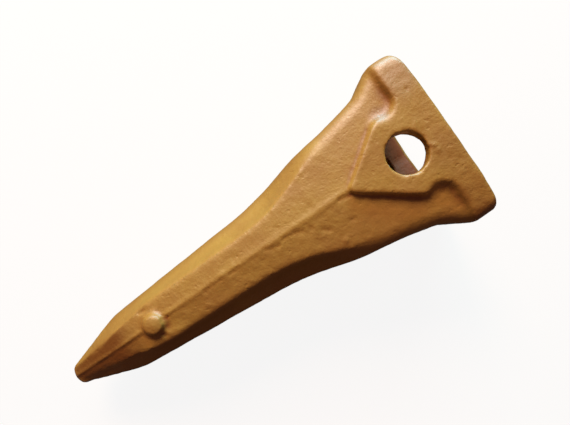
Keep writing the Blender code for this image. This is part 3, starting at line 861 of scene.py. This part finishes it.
def pale_floor_material():
    """Pale to the camera, with the tooth's soft shadow on it, and dull to the light on the tooth."""
    pale = bpy.data.materials.new("pale_floor")
    pale.use_nodes = True
    tree = pale.node_tree
    tree.nodes.clear()
    out = tree.nodes.new("ShaderNodeOutputMaterial")
    matt = node_in(tree, "ShaderNodeBsdfDiffuse")
    matt.inputs["Color"].default_value = FLOOR_COLOUR
    glow = node_in(tree, "ShaderNodeEmission")
    glow.inputs["Color"].default_value = WHITE
    glow.inputs["Strength"].default_value = FLOOR_GLOW
    clean = tree.nodes.new("ShaderNodeAddShader")
    tree.links.new(matt.outputs["BSDF"], clean.inputs[0])
    tree.links.new(glow.outputs["Emission"], clean.inputs[1])
    show_to_camera(tree, clean.outputs["Shader"], matt.outputs["BSDF"], out)
    return pale


def room(strength):
    """A white surround for the camera, and weak warm light for everything else."""
    world = bpy.data.worlds.new("room")
    world.use_nodes = True
    tree = world.node_tree
    tree.nodes.clear()
    out = tree.nodes.new("ShaderNodeOutputWorld")
    warm = node_in(tree, "ShaderNodeBackground")
    warm.inputs["Color"].default_value = ROOM_COLOUR
    warm.inputs["Strength"].default_value = strength
    white = node_in(tree, "ShaderNodeBackground")
    white.inputs["Color"].default_value = WHITE
    white.inputs["Strength"].default_value = 1.0
    show_to_camera(tree, white.outputs["Background"], warm.outputs["Background"], out)
    return world


def soft_lamp(name, direction, distance, size, power, colour):
    """A rectangular soft lamp, of this width and height, that faces the tooth."""
    data = bpy.data.lights.new(name, "AREA")
    data.shape = "RECTANGLE"
    data.size, data.size_y = size
    data.energy = power
    data.color = colour
    lamp = bpy.data.objects.new(name, data)
    bpy.context.scene.collection.objects.link(lamp)
    way = Vector(direction).normalized()
    lamp.location = way * distance + LAMP_AIM
    lamp.rotation_euler = way.to_track_quat("Z", "Y").to_euler()
    return lamp


class TOOTH_OT_stage(bpy.types.Operator):
    """Lay the pale floor and set the two soft lamps, the room and the camera"""

    bl_idname = "tooth.stage"
    bl_label = "Set the stage"

    def execute(self, context):
        settings = context.scene.tooth_stage
        bm = bmesh.new()
        bmesh.ops.create_grid(bm, x_segments=1, y_segments=1, size=settings.floor_size / 2)
        mesh = bpy.data.meshes.new("floor")
        bm.to_mesh(mesh)
        bm.free()
        mesh.materials.append(pale_floor_material())
        floor = bpy.data.objects.new("floor", mesh)
        context.scene.collection.objects.link(floor)
        away = settings.lamp_distance
        soft_lamp("key_lamp", KEY_DIRECTION, away, KEY_SIZE, settings.key_power, KEY_COLOUR)
        soft_lamp("window_lamp", WINDOW_DIRECTION, away, WINDOW_SIZE, settings.window_power, WINDOW_COLOUR)
        context.scene.world = room(settings.room_light)
        data = bpy.data.cameras.new("camera")
        data.sensor_width = SENSOR_WIDTH
        data.lens = settings.lens
        data.shift_x = CAMERA_SHIFT[0] / PICTURE_WIDTH
        data.shift_y = CAMERA_SHIFT[1] / PICTURE_WIDTH
        data.clip_start = NEAREST_SEEN
        camera = bpy.data.objects.new("camera", data)
        camera.location = CAMERA_PLACE
        camera.rotation_euler = Euler([math.radians(turn) for turn in CAMERA_TURN])
        context.scene.collection.objects.link(camera)
        context.scene.camera = camera
        context.scene.view_settings.view_transform = "Standard"
        return {"FINISHED"}


class TOOTH_PT_panel(bpy.types.Panel):
    """Settings of the tooth, its paint and its stage"""

    bl_idname = "TOOTH_PT_panel"
    bl_label = "Rock bucket tooth"
    bl_space_type = "VIEW_3D"
    bl_region_type = "UI"
    bl_category = "Tooth"

    def draw(self, context):
        for title, settings, operator in (
            ("Casting", context.scene.tooth_casting, "tooth.casting"),
            ("Paint", context.scene.tooth_paint, None),
            ("Stage", context.scene.tooth_stage, "tooth.stage"),
        ):
            box = self.layout.box()
            box.label(text=title)
            for name in settings.bl_rna.properties.keys():
                if name not in ("rna_type", "name"):
                    box.prop(settings, name)
            if operator:
                box.operator(operator)


CLASSES = (
    CastingSettings,
    PaintSettings,
    StageSettings,
    TOOTH_OT_casting,
    TOOTH_OT_stage,
    TOOTH_PT_panel,
)


def register():
    """Add the settings, the two operators and the panel to Blender."""
    for made in CLASSES:
        bpy.utils.register_class(made)
    bpy.types.Scene.tooth_casting = bpy.props.PointerProperty(type=CastingSettings)
    bpy.types.Scene.tooth_paint = bpy.props.PointerProperty(type=PaintSettings)
    bpy.types.Scene.tooth_stage = bpy.props.PointerProperty(type=StageSettings)


def unregister():
    """Take away what register adds, in reverse order."""
    del bpy.types.Scene.tooth_stage
    del bpy.types.Scene.tooth_paint
    del bpy.types.Scene.tooth_casting
    for made in reversed(CLASSES):
        bpy.utils.unregister_class(made)


def main():
    """Dress the casting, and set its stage."""
    register()
    bpy.ops.tooth.casting()
    bpy.ops.tooth.stage()
    bpy.context.view_layer.update()


if __name__ == "__main__":
    main()
